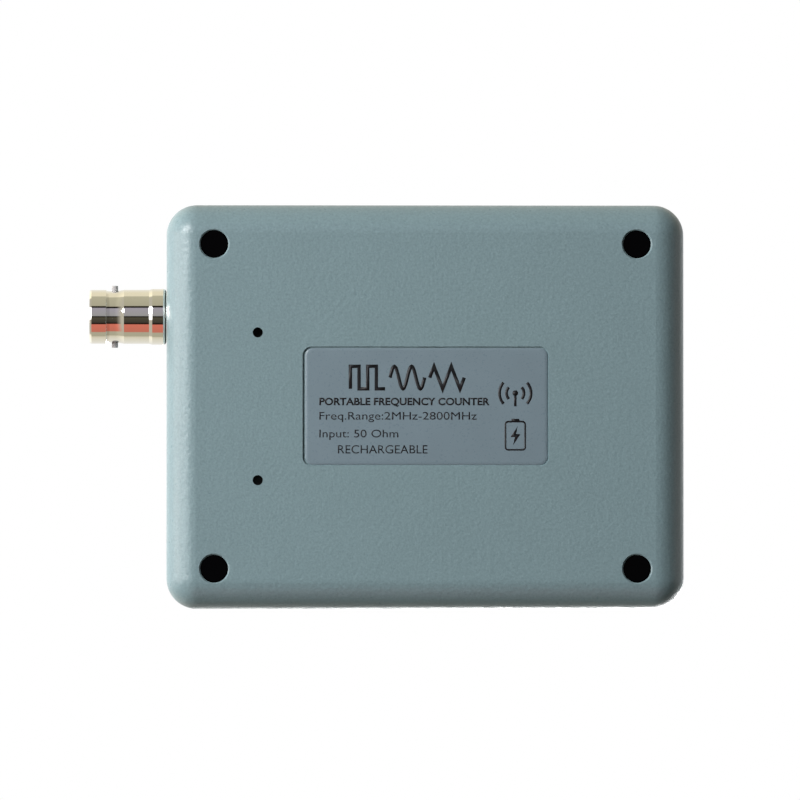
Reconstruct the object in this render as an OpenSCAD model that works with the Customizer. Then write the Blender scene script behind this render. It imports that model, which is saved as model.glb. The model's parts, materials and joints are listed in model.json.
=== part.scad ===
// Portable frequency counter in a two-part plastic case.
//
// The counter lies on its flat back with the display up: +Z is up, +Y points away from the user and
// +X is the user's right, where the coaxial input socket comes out. The origin is the centre of the
// flat back, on the surface that the counter lies on. Everything is in millimetres.

/* [Case] */
// Width of the case, without the input socket
body_w = 92; // [92:0.5:98]
// Depth of the case, from the user's edge to the far edge
body_d = 71.8; // [71.5:0.1:76]
// Height of the closed case
body_h = 27; // [27:0.5:29]
// Radius of the four upright corners
corner_r = 5.4; // [5.4:0.1:6]
// Radius of the rounded edge round the back
back_edge_r = 5.2; // [4.5:0.1:5.3]
// Radius of the rounded edge round the front
front_edge_r = 4; // [3.5:0.1:4.5]
// Wall thickness of both case halves
wall = 2.2; // [2:0.1:2.3]
// Depth of the fine groove that marks the seam between the halves
seam_depth = 0.35; // [0.2:0.05:0.5]

/* [Back face] */
// Distance between the screw recesses along X
screw_pitch_x = 75; // [74:0.1:75]
// Distance between the screw recesses along Y
screw_pitch_y = 57.6; // [57:0.1:57.6]
// Diameter of the screw recesses
recess_d = 4.95; // [4.8:0.05:5.1]
// Distance of the two access pinholes from the centre, along X
pinhole_x = 29.8; // [28:0.1:30]
// Distance of each access pinhole from the centre line, along Y
pinhole_y = 13.1; // [13:0.1:13.4]
// Diameter of the access pinholes
pinhole_d = 1.8; // [1.4:0.1:1.8]
// Width of the label recess
label_w = 43.7; // [38:0.1:48]
// Height of the label recess
label_h = 21.2; // [18:0.1:22]
// Depth of the label recess
label_depth = 0.35; // [0.3:0.05:0.45]

/* [Input socket] */
// Length of the socket outside the case
socket_reach = 13.8; // [13:0.1:14.5]
// Distance of the socket's axis from the centre line, along Y
socket_y = 16.3; // [16:0.1:16.4]
// Diameter of the socket's mouth ring
socket_ring_d = 9.65; // [9.6:0.01:9.7]
// Distance across the tips of the two bayonet studs
stud_span = 11.05; // [10.9:0.05:11.2]

/* [Front face] */
// Width of the printed front overlay
overlay_w = 78; // [76:0.5:80]
// Height of the printed front overlay
overlay_h = 58; // [57:0.5:59]
// Width of the opening over the display
view_w = 57; // [55:0.5:58]
// Height of the opening over the display
view_h = 22.5; // [21:0.5:23]
// Width of a key cap
key_w = 12; // [11:0.5:13]
// Height of a key cap, seen from the front
key_h = 7; // [6.5:0.1:7.5]
// Travel of a key
key_travel = 0.5; // [0.3:0.05:0.5]

/* [Hidden] */
$fn = 64;
eps = 0.01;

// case
part_z = body_h / 2;            // height of the seam
recess_r = recess_d / 2;
screw_boss_r = 3.75;
screw_head_z = 9.5;             // underside of the case screws' heads
screw_x = screw_pitch_x / 2;
screw_y = screw_pitch_y / 2;
seam_half = 0.15;               // half the height of the seam groove
tongue_out = 1.15;              // inset of the tongue's outer face
tongue_h = 1;
fit_gap = 0.1;                  // clearance round the tongue
key_gap = 0.25;                 // clearance round each key cap

// boards
board_t = 1.6;
main_board_z = 5.6;             // underside of the main board
main_top = main_board_z + board_t;
display_board_z = body_h - wall - 6.6;
display_top = display_board_z + board_t;
board_w = 82;
board_d = 61;
board_post_x = 24;
board_post_y = 27;
display_post_x = 37.5;
display_post_ys = [6, -16];

// front
front_inner = body_h - wall;    // inside of the front wall
overlay_depth = 0.5;
overlay_t = 0.4;
overlay_floor = body_h - overlay_depth;
window_t = 1;
window_w = view_w + 3;
window_h = view_h + 3;
display_y = 12.5;               // centre of the display
key_y = -15;
key_pitch = 18;
key_xs = [for (i = [0 : 3]) (i - 1.5) * key_pitch];
key_flange = 1.2;               // how far a cap's flange reaches past the cap
key_flange_t = 0.7;
key_flange_z = front_inner - 0.2 - key_flange_t;
key_top = body_h + 1;
status_x = key_xs[0];           // the charging light is below the power key
status_y = -25.5;

// tact switches under the keys
tact_w = 6;
tact_h = 3.5;
tact_top = display_top + tact_h;
plunger_r = 1.7;
plunger_hole_r = 1.85;
plunger_flange_r = 2.1;         // keeps the plunger under the switch's cover
plunger_flange_t = 0.6;
tact_well_r = 2.3;
tact_well_depth = 2;
cover_t = 0.2;

// socket
socket_z = part_z;
socket_mouth_x = body_w / 2 + socket_reach;
socket_hole_r = 5.15;
socket_block_x = body_w / 2 - 3.5;   // face of the square block inside the case
socket_block_len = 11.5;
socket_block_h = socket_z - main_top + 4.5;
socket_seat_x = socket_block_x - 7;  // inner end of the insulator
socket_bore_r = 4.05;
socket_bore_depth = 9;
insulator_r = 2.4;
contact_r = 1.1;
contact_bore_r = 0.69;
contact_bore_len = 4.5;

// charging socket
usb_y = -17;
usb_w = 8.94;
usb_h = 3.26;
usb_len = 7.35;
usb_x = -body_w / 2 + 0.5;      // mouth of the charging socket
usb_z = main_top + usb_h / 2;
usb_gap = 0.28;                 // clearance round the charging socket in the wall

// ---- shared shapes ----

// The part of a disc in the first quadrant
module quarter_disc(r) {
    intersection() {
        circle(r);
        square(2 * r);
    }
}

// A rectangle with four true round corners
module rounded_rect(w, d, r) {
    square([w, d - 2 * r], center = true);
    square([w - 2 * r, d], center = true);
    for (sx = [0, 1], sy = [0, 1])
        mirror([sx, 0]) mirror([0, sy])
            translate([w / 2 - r, d / 2 - r]) quarter_disc(r);
}

module rounded_plate(w, d, h, r) {
    linear_extrude(h) rounded_rect(w, d, r);
}

// Section of a rim: a rectangle whose lower outer corner is round
module rim_section(len, h, r) {
    square([len - r, h]);
    translate([len - r, r]) square([r, h - r]);
    translate([len - r, r]) mirror([0, 1]) quarter_disc(r);
}

// A block with round upright corners and a round lower edge, standing on z = 0
module rounded_block(w, d, h, corner, edge) {
    in_w = w - 2 * corner;
    in_d = d - 2 * corner;
    translate([-in_w / 2, -in_d / 2, 0]) cube([in_w, in_d, h]);
    for (s = [0, 1]) {
        mirror([s, 0, 0]) translate([in_w / 2, in_d / 2, 0]) rotate([90, 0, 0])
            linear_extrude(in_d) rim_section(corner, h, edge);
        mirror([0, s, 0]) translate([-in_w / 2, in_d / 2, 0]) rotate([90, 0, 90])
            linear_extrude(in_w) rim_section(corner, h, edge);
        for (t = [0, 1])
            mirror([s, 0, 0]) mirror([0, t, 0]) translate([in_w / 2, in_d / 2, 0])
                rotate_extrude(angle = 90) rim_section(corner, h, edge);
    }
}

// One copy at each of the four points (x, y), (-x, y), (x, -y) and (-x, -y)
module at_corners(x, y) {
    for (sx = [-1, 1], sy = [-1, 1]) translate([sx * x, sy * y, 0]) children();
}

module centred_box(size, at) {
    translate([at[0] - size[0] / 2, at[1] - size[1] / 2, at[2]]) cube(size);
}

// A pan-head screw with a cross recess: its head reaches from z = 0 down, its shank up
module pan_screw(head_d, head_h, shank_d, shank_len) {
    difference() {
        union() {
            translate([0, 0, -head_h * 0.55]) cylinder(d = head_d, h = head_h * 0.55);
            translate([0, 0, -head_h]) cylinder(d1 = head_d * 0.72, d2 = head_d, h = head_h * 0.45);
            cylinder(d = shank_d, h = shank_len - shank_d / 2);
            translate([0, 0, shank_len - shank_d / 2])
                cylinder(d1 = shank_d, d2 = shank_d * 0.4, h = shank_d / 2);
        }
        for (a = [0, 90]) rotate([0, 0, a])
            centred_box([head_d * 0.56, head_d * 0.15, head_h * 0.6], [0, 0, -head_h]);
    }
}

// A round wire in the plane z = 0 along a route of straight runs with square turns
module wire(route, r, bend) {
    last = len(route) - 1;
    for (i = [0 : last - 1]) {
        run = route[i + 1] - route[i];
        from = i == 0 ? 0 : bend;
        to = i == last - 1 ? 0 : bend;
        translate([route[i][0], route[i][1], 0]) rotate([0, 0, atan2(run[1], run[0])])
            rotate([0, 90, 0]) translate([0, 0, from]) cylinder(r = r, h = norm(run) - from - to);
    }
    for (i = [1 : last - 1]) {
        before = (route[i] - route[i - 1]) / norm(route[i] - route[i - 1]);
        after = (route[i + 1] - route[i]) / norm(route[i + 1] - route[i]);
        centre = route[i] - bend * before + bend * after;
        left = before[0] * after[1] - before[1] * after[0] > 0;
        translate([centre[0], centre[1], 0])
            rotate([0, 0, atan2(before[1], before[0]) - (left ? 90 : 0)])
                rotate_extrude(angle = 90) translate([bend, 0]) circle(r);
    }
}

// ---- case ----

// The ring of wall between two insets, for the tongue and its rebate
module wall_ring(inset_out, inset_in, h) {
    linear_extrude(h) difference() {
        rounded_rect(body_w - 2 * inset_out, body_d - 2 * inset_out, corner_r - inset_out);
        rounded_rect(body_w - 2 * inset_in, body_d - 2 * inset_in, corner_r - inset_in);
    }
}

// Ribs that tie the screw bosses to the side walls
module boss_ribs(from_z, to_z) {
    rib_t = 1.2;
    for (sx = [0, 1], sy = [0, 1]) mirror([sx, 0, 0]) mirror([0, sy, 0]) {
        translate([screw_x + 2.9, screw_y - rib_t / 2, from_z])
            cube([body_w / 2 - wall / 2 - screw_x - 2.9, rib_t, to_z - from_z]);
        translate([screw_x - rib_t / 2, screw_y + 2.9, from_z])
            cube([rib_t, body_d / 2 - wall / 2 - screw_y - 2.9, to_z - from_z]);
    }
}

// The hole for the input socket, shared by both halves
module socket_hole() {
    translate([body_w / 2 - wall - 1, socket_y, socket_z]) rotate([0, 90, 0])
        cylinder(r = socket_hole_r, h = wall + 2);
}

module shell(h, edge) {
    difference() {
        rounded_block(body_w, body_d, h, corner_r, edge);
        translate([0, 0, wall])
            rounded_block(body_w - 2 * wall, body_d - 2 * wall, h, corner_r - wall, edge - wall);
    }
}

module rear_case() {
    board_post_r = 2.5;
    color([0.47, 0.56, 0.58]) difference() {
        union() {
            shell(part_z, back_edge_r);
            translate([0, 0, part_z]) wall_ring(tongue_out, wall, tongue_h);
            at_corners(screw_x, screw_y) translate([0, 0, wall - 0.5])
                cylinder(r = screw_boss_r, h = part_z - wall + 0.4);
            boss_ribs(back_edge_r, part_z - 1.5);
            at_corners(board_post_x, board_post_y) translate([0, 0, wall - 0.5])
                cylinder(r = board_post_r, h = main_board_z - wall + 0.5);
        }
        // screw recesses, with a softened rim, and clearance holes for the shanks
        at_corners(screw_x, screw_y) {
            translate([0, 0, -1]) cylinder(r = recess_r, h = screw_head_z + 1);
            cylinder(r = 1.5, h = part_z + 1);
            translate([0, 0, -eps]) cylinder(r1 = recess_r + 0.25, r2 = recess_r, h = 0.25);
        }
        at_corners(board_post_x, board_post_y)
            translate([0, 0, main_board_z - 3]) cylinder(r = 0.85, h = 4);
        // access pinholes
        for (s = [-1, 1]) translate([pinhole_x, s * pinhole_y, -1])
            cylinder(d = pinhole_d, h = wall + 2);
        // label recess
        translate([0, 0, -1]) rounded_plate(label_w, label_h, label_depth + 1, 1.6);
        // charging socket opening
        translate([-body_w / 2 - 1, usb_y, usb_z]) rotate([90, 0, 90])
            linear_extrude(wall + 2)
                rounded_rect(usb_w + 2 * usb_gap, usb_h + 2 * usb_gap, usb_h / 2);
        socket_hole();
        // seam groove
        translate([0, 0, part_z - seam_half]) wall_ring(-1, seam_depth, seam_half + eps);
    }
}

module front_case() {
    display_post_r = 2.3;
    color([0.47, 0.56, 0.58]) difference() {
        union() {
            translate([0, 0, body_h]) mirror([0, 0, 1]) shell(body_h - part_z, front_edge_r);
            at_corners(screw_x, screw_y) translate([0, 0, part_z + 0.1])
                cylinder(r = 3.2, h = front_inner - part_z + 0.4);
            boss_ribs(part_z + 1.5, body_h - front_edge_r);
            for (sx = [-1, 1], y = display_post_ys) translate([sx * display_post_x, y, display_top])
                cylinder(r = display_post_r, h = front_inner - display_top + 0.5);
        }
        // rebate for the rear half's tongue
        translate([0, 0, part_z - eps])
            wall_ring(tongue_out - fit_gap, wall + 0.5, tongue_h + fit_gap + eps);
        // pilot holes
        at_corners(screw_x, screw_y) translate([0, 0, part_z]) cylinder(r = 1.1, h = 9.5);
        for (sx = [-1, 1], y = display_post_ys) translate([sx * display_post_x, y, display_top - 1])
            cylinder(r = 0.85, h = 5);
        // recess for the overlay, ledge for the window, and the opening over the display
        translate([0, 0, overlay_floor])
            rounded_plate(overlay_w + 0.3, overlay_h + 0.3, 2, 3);
        translate([0, display_y, overlay_floor - window_t])
            rounded_plate(window_w + 0.3, window_h + 0.3, 2, 1.5);
        translate([0, display_y, front_inner - 1]) rounded_plate(view_w, view_h, 4, 1);
        for (x = key_xs) translate([x, key_y, front_inner - 1])
            rounded_plate(key_w + 2 * key_gap, key_h + 2 * key_gap, 4, 2.5 + key_gap);
        translate([status_x, status_y, front_inner - 1]) cylinder(r = 1.3, h = 4);
        socket_hole();
        translate([0, 0, part_z - eps]) wall_ring(-1, seam_depth, seam_half + eps);
    }
}

module case_screws() {
    color([0.6, 0.6, 0.62]) at_corners(screw_x, screw_y) translate([0, 0, screw_head_z])
        pan_screw(4.5, 1.9, 2.15, 11);
}

module screw_plugs() {
    color([0.03, 0.03, 0.035]) at_corners(screw_x, screw_y) {
        translate([0, 0, 0.35]) cylinder(r1 = recess_r - 0.25, r2 = recess_r - 0.05, h = 0.2);
        translate([0, 0, 0.55]) cylinder(r = recess_r - 0.05, h = 2.6);
    }
}

module rating_label() {
    color([0.45, 0.51, 0.55]) translate([-0.12, 0, label_depth - 0.2])
        rounded_plate(label_w - 0.75, label_h - 0.5, 0.2, 1.35);
}

// ---- front ----

module front_overlay() {
    color([0.06, 0.1, 0.14]) difference() {
        translate([0, 0, overlay_floor]) rounded_plate(overlay_w, overlay_h, overlay_t, 2.85);
        translate([0, display_y, overlay_floor - 1]) rounded_plate(view_w, view_h, 3, 1);
        for (x = key_xs) translate([x, key_y, overlay_floor - 1])
            rounded_plate(key_w + 2 * key_gap, key_h + 2 * key_gap, 3, 2.5 + key_gap);
        translate([status_x, status_y, overlay_floor - 1]) cylinder(r = 1.3, h = 3);
    }
}

module display_window() {
    color([0.8, 0.85, 0.85, 0.4]) translate([0, display_y, overlay_floor - window_t])
        rounded_plate(window_w, window_h, window_t, 1.35);
}

module status_light_pipe() {
    color([0.9, 0.9, 0.88, 0.8]) translate([status_x, status_y, 0]) {
        translate([0, 0, front_inner - 0.8]) cylinder(r = 2, h = 0.8);
        translate([0, 0, front_inner]) cylinder(r = 1.2, h = body_h + 0.1 - front_inner);
    }
}

// A key cap with a flange that keeps it behind the front wall
module key_cap(x) {
    translate([x, key_y, key_top]) mirror([0, 0, 1])
        rounded_block(key_w, key_h, key_top - key_flange_z, 2.5, 0.8);
    translate([x, key_y, key_flange_z])
        rounded_plate(key_w + 2 * key_flange, key_h + 2 * key_flange, key_flange_t, 2.5);
}

// The moving post of a tact switch, which the cap pushes
module switch_plunger(x) {
    foot_z = tact_top - cover_t - 0.05 - plunger_flange_t;
    translate([x, key_y, foot_z]) {
        cylinder(r = plunger_flange_r, h = plunger_flange_t);
        cylinder(r = plunger_r, h = key_flange_z - foot_z);
    }
}

module power_key() { color([0.62, 0.16, 0.12]) key_cap(key_xs[0]); }
module mode_key() { color([0.75, 0.78, 0.79]) key_cap(key_xs[1]); }
module hold_key() { color([0.75, 0.78, 0.79]) key_cap(key_xs[2]); }
module light_key() { color([0.75, 0.78, 0.79]) key_cap(key_xs[3]); }
module power_switch_plunger() { color([0.1, 0.1, 0.1]) switch_plunger(key_xs[0]); }
module mode_switch_plunger() { color([0.1, 0.1, 0.1]) switch_plunger(key_xs[1]); }
module hold_switch_plunger() { color([0.1, 0.1, 0.1]) switch_plunger(key_xs[2]); }
module light_switch_plunger() { color([0.1, 0.1, 0.1]) switch_plunger(key_xs[3]); }

module key_switch_housings() {
    color([0.08, 0.08, 0.08]) for (x = key_xs) difference() {
        centred_box([tact_w, tact_w, tact_h - cover_t], [x, key_y, display_top]);
        translate([x, key_y, tact_top - tact_well_depth]) cylinder(r = tact_well_r, h = 4);
    }
}

module key_switch_covers() {
    color([0.75, 0.75, 0.75]) for (x = key_xs) difference() {
        centred_box([tact_w, tact_w, cover_t], [x, key_y, tact_top - cover_t]);
        translate([x, key_y, tact_top - 1]) cylinder(r = plunger_hole_r, h = 4);
    }
}

// ---- display ----

// A board's outline, cut back round the case's screw bosses
module board_outline() {
    difference() {
        rounded_rect(board_w, board_d, 1);
        at_corners(screw_x, screw_y) circle(screw_boss_r + 0.5);
    }
}

module display_board() {
    color([0.05, 0.3, 0.16]) difference() {
        translate([0, 0, display_board_z]) linear_extrude(board_t) board_outline();
        for (sx = [-1, 1], y = display_post_ys)
            translate([sx * display_post_x, y, display_board_z - 1]) cylinder(r = 1.1, h = 4);
    }
}

module display_board_screws() {
    color([0.6, 0.6, 0.62]) for (sx = [-1, 1], y = display_post_ys)
        translate([sx * display_post_x, y, display_board_z]) pan_screw(3.6, 1.3, 1.65, 5);
}

lcd_w = 64;
lcd_h = 28;
lcd_z = display_top + 2;        // underside of the glass, on the light guide
glass_t = 1.1;
glass_ledge = 1.7;

// The dark frame that holds the display's layers together
module display_frame() {
    color([0.07, 0.07, 0.08]) difference() {
        translate([0, display_y, display_top]) rounded_plate(lcd_w + 3, lcd_h + 3, 4.6, 1);
        translate([0, display_y, display_top - 1]) rounded_plate(lcd_w + 0.4, lcd_h + 0.4, 5.2, 0.5);
        translate([0, display_y, display_top + 3]) rounded_plate(lcd_w - 2.5, lcd_h - 2.5, 4, 0.5);
    }
}

// Two bonded sheets; the upper one overhangs and carries the contacts on its underside
module display_glass() {
    color([0.7, 0.78, 0.7, 0.5]) {
        centred_box([lcd_w, lcd_h - 2 * glass_ledge, glass_t], [0, display_y, lcd_z]);
        centred_box([lcd_w, lcd_h, glass_t - 0.05], [0, display_y, lcd_z + glass_t]);
    }
}

module display_polariser() {
    color([0.55, 0.62, 0.5]) centred_box([lcd_w - 3, lcd_h - 3.5, 0.2],
        [0, display_y, lcd_z + 2 * glass_t - 0.05]);
}

module backlight_guide() {
    color([0.92, 0.93, 0.9]) centred_box([lcd_w - 4, lcd_h - 8, 1.95], [0, display_y, display_top]);
}

module backlight_leds() {
    color([0.95, 0.93, 0.75]) for (sx = [-1, 1], y = [-6, 6])
        centred_box([1.2, 2.8, 1], [sx * (lcd_w / 2 - 1.2), display_y + y, display_top]);
}

module zebra_strips() {
    color([0.85, 0.45, 0.5]) for (s = [-1, 1])
        centred_box([lcd_w - 6, glass_ledge - 0.4, lcd_z + glass_t - display_top],
            [0, display_y + s * (lcd_h / 2 - glass_ledge / 2), display_top]);
}

module status_led() {
    color([0.9, 0.9, 0.7]) {
        centred_box([3.2, 1.6, 0.6], [status_x, status_y, display_top]);
        translate([status_x, status_y, display_top + 0.6]) cylinder(r = 0.7, h = 0.6);
    }
}

// ---- main board ----

module main_board() {
    hole_r = 0.6;
    color([0.05, 0.3, 0.16]) difference() {
        translate([0, 0, main_board_z]) linear_extrude(board_t) board_outline();
        at_corners(board_post_x, board_post_y)
            translate([0, 0, main_board_z - 1]) cylinder(r = 1.1, h = 4);
        for (s = [-1, 1]) translate([post_x, socket_y + s * post_pitch / 2, main_board_z - 1])
            cylinder(r = hole_r + 0.1, h = 4);
        translate([contact_leg_x, socket_y, main_board_z - 1]) cylinder(r = hole_r, h = 4);
        for (x = header_xs) translate([x, header_y, main_board_z - 1]) cylinder(r = 0.5, h = 4);
    }
}

module main_board_screws() {
    color([0.6, 0.6, 0.62]) at_corners(board_post_x, board_post_y)
        translate([0, 0, main_top]) mirror([0, 0, 1]) pan_screw(3.6, 1.3, 1.65, 4.2);
}

header_pitch = 2.54;
header_y = -27;
header_xs = [for (i = [0 : 7]) (i - 3.5) * header_pitch];
board_socket_z = main_top + 2.6;

module board_header() {
    color([0.07, 0.07, 0.07]) difference() {
        centred_box([8 * header_pitch, header_pitch, 2.5], [0, header_y, main_top]);
        for (x = header_xs) translate([x, header_y, main_top - 1]) cylinder(r = 0.4, h = 5);
    }
}

module board_socket() {
    color([0.07, 0.07, 0.07]) difference() {
        centred_box([8 * header_pitch, header_pitch, display_board_z - board_socket_z],
            [0, header_y, board_socket_z]);
        for (x = header_xs) translate([x, header_y, board_socket_z - 1]) cylinder(r = 0.4, h = 8);
    }
}

module header_pins() {
    color([0.85, 0.68, 0.3]) for (x = header_xs)
        translate([x, header_y, main_board_z - 1.2]) cylinder(r = 0.32, h = 11);
}

// A flat package with a row of legs on each of its long sides, or on all four
module chip(body, at, legs, pitch, leg, four_sided = false) {
    centred_box(body, at);
    for (turn = four_sided ? [0, 90] : [0], s = [-1, 1], i = [0 : legs - 1])
        translate([at[0], at[1], at[2] - 0.1]) rotate([0, 0, turn])
            translate([(i - (legs - 1) / 2) * pitch, s * (body[1] / 2 + leg[1] / 2 - 0.2), 0])
                centred_box(leg, [0, 0, 0]);
}

chip_z = main_top + 0.1;        // the packages stand 0.1 above the board, on their legs

module microcontroller() {
    color([0.08, 0.08, 0.09]) chip([7, 7, 1.4], [18, -8, chip_z], 8, 0.8, [0.35, 1.4, 0.3], true);
}

module prescaler_chip() {
    color([0.08, 0.08, 0.09]) chip([4.9, 3.9, 1.5], [12.5, 17, chip_z], 4, 1.27, [0.42, 1.3, 0.3]);
}

module input_amplifier() {
    color([0.08, 0.08, 0.09]) chip([3, 1.6, 1.1], [22.5, 16.2, chip_z], 3, 0.95, [0.4, 0.9, 0.3]);
}

module charger_chip() {
    color([0.08, 0.08, 0.09]) chip([4.9, 3.9, 1.5], [-20, -20, chip_z], 4, 1.27, [0.42, 1.3, 0.3]);
}

module reference_oscillator() {
    color([0.8, 0.75, 0.55]) {
        translate([32, -3, main_top]) rounded_plate(7, 5, 0.6, 0.6);
        translate([32, -3, main_top + 0.6]) rounded_plate(6.4, 4.4, 1.2, 0.8);
    }
}

module shield_can() {
    size = [20, 14, 4];
    skin = 0.25;
    color([0.72, 0.73, 0.74]) difference() {
        centred_box(size, [18, socket_y, main_top]);
        centred_box([size[0] - 2 * skin, size[1] - 2 * skin, size[2]], [18, socket_y, main_top - skin]);
        for (ix = [-2 : 2], iy = [-1 : 1])
            translate([18 + ix * 3.4, socket_y + iy * 3.6, main_top + size[2] - 1])
                cylinder(r = 0.7, h = 2);
    }
}

module smoothing_capacitors() {
    color([0.72, 0.72, 0.74]) for (at = [[33, -19], [27, -21]])
        translate([at[0], at[1], main_top]) {
            centred_box([5.3, 5.3, 0.8], [0, 0, 0]);
            translate([0, 0, 0.8]) cylinder(r = 2.5, h = 4.6);
        }
}

module power_inductor() {
    color([0.2, 0.2, 0.21]) translate([-28, -20, main_top]) rounded_plate(6.6, 6.6, 3, 1);
}

// ---- under the pinholes ----

trimmer_r = 1.35;

module trimmer_base() {
    color([0.85, 0.82, 0.75]) difference() {
        centred_box([4.5, 3.4, 1.4], [pinhole_x, pinhole_y, main_board_z - 1.4]);
        translate([pinhole_x, pinhole_y, main_board_z - 2]) cylinder(r = trimmer_r + 0.1, h = 1.5);
    }
}

module trimmer_rotor() {
    color([0.1, 0.1, 0.1]) translate([pinhole_x, pinhole_y, main_board_z - 1.7]) difference() {
        cylinder(r = trimmer_r, h = 1.15);
        centred_box([1.7, 0.4, 1.2], [0, 0, -0.7]);
    }
}

module reset_switch_base() {
    color([0.75, 0.75, 0.75]) difference() {
        centred_box([5, 4, 1.4], [pinhole_x, -pinhole_y, main_board_z - 1.4]);
        translate([pinhole_x, -pinhole_y, main_board_z - 2]) cylinder(r = 1.1, h = 1.5);
        translate([pinhole_x, -pinhole_y, main_board_z - 1.2]) cylinder(r = 1.55, h = 0.8);
    }
}

module reset_plunger() {
    color([0.1, 0.1, 0.1]) translate([pinhole_x, -pinhole_y, main_board_z]) {
        translate([0, 0, -2]) cylinder(r = 1, h = 1.2);
        translate([0, 0, -1.15]) cylinder(r = 1.4, h = 0.4);
    }
}

// ---- charging socket ----

module charging_socket_shell() {
    skin = 0.3;
    color([0.75, 0.76, 0.77]) translate([usb_x, usb_y, usb_z]) rotate([90, 0, 90]) difference() {
        linear_extrude(usb_len) rounded_rect(usb_w, usb_h, usb_h / 2 - eps);
        translate([0, 0, -1]) linear_extrude(usb_len)
            rounded_rect(usb_w - 2 * skin, usb_h - 2 * skin, usb_h / 2 - skin - eps);
    }
}

module charging_socket_tongue() {
    color([0.08, 0.08, 0.08]) translate([usb_x, usb_y, usb_z]) rotate([90, 0, 90]) {
        translate([0, 0, 0.9]) linear_extrude(usb_len - 2.6) square([6.7, 0.7], center = true);
        translate([0, 0, usb_len - 2.2]) linear_extrude(1.2) square([7.2, 2.2], center = true);
    }
}

// ---- input socket ----

post_pitch = 8;
post_x = socket_block_x - 4;
contact_leg_x = socket_block_x - 9.6;

// Turned profile of the socket's outside, from the block's face to the mouth: a neck through the
// wall, a collar, the barrel, the waist that carries the studs, and the mouth ring
module socket_barrel() {
    neck_r = 4.6;
    collar_r = 5;
    barrel_r = 4.85;
    waist_r = 4.6;
    ring_r = socket_ring_d / 2;
    wall_x = body_w / 2;
    collar_x = wall_x + 2.6;        // outer end of the collar
    barrel_x = socket_mouth_x - 6.15;
    ring_x = socket_mouth_x - 3;
    waist_x = ring_x - 0.9;         // where the waist is narrowest
    translate([0, socket_y, socket_z]) rotate([0, 90, 0]) rotate_extrude() polygon(concat([
        [0, socket_block_x],
        [neck_r, socket_block_x],
        [neck_r, wall_x + 0.15],
        [collar_r - 0.15, wall_x + 0.24],
        [collar_r - 0.04, wall_x + 0.42],
        [collar_r, wall_x + 0.65],
        [collar_r, collar_x],
        [barrel_r, collar_x + 0.57]
    ], [for (i = [6:-1:1]) let (run = (waist_x - barrel_x) * i / 6)
        [waist_r + arc_rise(run, waist_x - barrel_x, barrel_r - waist_r), waist_x - run]
    ], [for (i = [0:3]) let (run = (ring_x - waist_x) * i / 3)
        [waist_r + arc_rise(run, ring_x - waist_x, 0.08), waist_x + run]
    ], [
        [ring_r, ring_x + 0.03],
        [ring_r, socket_mouth_x - 0.34],
        [ring_r - 0.15, socket_mouth_x],
        [0, socket_mouth_x]
    ]));
}

// How far an arc has risen after run, when it starts level and rises by rise over span
function arc_rise(run, span, rise) =
    let (r = (span ^ 2 + rise ^ 2) / 2 / rise) r - sqrt(r ^ 2 - run ^ 2);

module socket_shell() {
    color([0.8, 0.78, 0.74]) difference() {
        union() {
            socket_barrel();
            centred_box([socket_block_len, 11.2, socket_block_h],
                [socket_block_x - socket_block_len / 2, socket_y, main_top]);
        }
        translate([socket_mouth_x - socket_bore_depth, socket_y, socket_z]) rotate([0, 90, 0])
            cylinder(r = socket_bore_r, h = socket_bore_depth + 1);
        translate([socket_mouth_x - 0.35, socket_y, socket_z]) rotate([0, 90, 0])
            cylinder(r1 = socket_bore_r, r2 = socket_bore_r + 0.36, h = 0.36);
        // seat of the insulator, and the way through for the contact
        translate([socket_seat_x, socket_y, socket_z]) rotate([0, 90, 0])
            cylinder(r = insulator_r + 0.02, h = 30);
        translate([contact_leg_x, socket_y, socket_z]) rotate([0, 90, 0])
            cylinder(r = contact_r + 0.4, h = 6);
        // room for the contact's leg and holes for the studs and posts
        centred_box([4.4, 4, socket_block_h - 1.5], [contact_leg_x, socket_y, main_top - 1]);
        for (s = [-1, 1]) {
            translate([post_x, socket_y + s * post_pitch / 2, main_top - 1]) cylinder(r = 0.5, h = 3);
            translate([stud_x, socket_y, socket_z]) rotate([s * 90, 0, 0])
                translate([0, 0, 4.1]) cylinder(r = stud_r, h = 3);
        }
    }
}

stud_x = socket_mouth_x - 4.5;
stud_r = 0.56;

module bayonet_studs() {
    color([0.75, 0.74, 0.72]) for (s = [-1, 1])
        translate([stud_x, socket_y, socket_z]) rotate([s * 90, 0, 0]) translate([0, 0, 4.1])
            cylinder(r = stud_r - 0.01, h = stud_span / 2 - 4.1);
}

module socket_insulator() {
    color([0.93, 0.93, 0.9]) difference() {
        translate([socket_seat_x, socket_y, socket_z]) rotate([0, 90, 0])
            cylinder(r = insulator_r, h = socket_mouth_x - 0.6 - socket_seat_x);
        translate([socket_seat_x - 1, socket_y, socket_z]) rotate([0, 90, 0])
            cylinder(r = contact_r + 0.02, h = 40);
    }
}

module centre_contact() {
    tip_x = socket_mouth_x - 0.9;
    tail_x = contact_leg_x - 0.9;
    color([0.86, 0.68, 0.3]) {
        translate([0, socket_y, socket_z]) rotate([0, 90, 0]) difference() {
            translate([0, 0, tail_x]) cylinder(r = contact_r, h = tip_x - tail_x);
            translate([0, 0, tip_x - contact_bore_len])
                cylinder(r = contact_bore_r, h = contact_bore_len + 1);
        }
        translate([contact_leg_x, socket_y, main_board_z - 0.9])
            cylinder(r = 0.45, h = socket_z - main_board_z + 0.9);
    }
}

module socket_ground_posts() {
    color([0.75, 0.75, 0.74]) for (s = [-1, 1])
        translate([post_x, socket_y + s * post_pitch / 2, main_board_z - 0.9])
            cylinder(r = 0.48, h = board_t + 0.9 + 1.9);
}

// ---- battery ----

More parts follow.
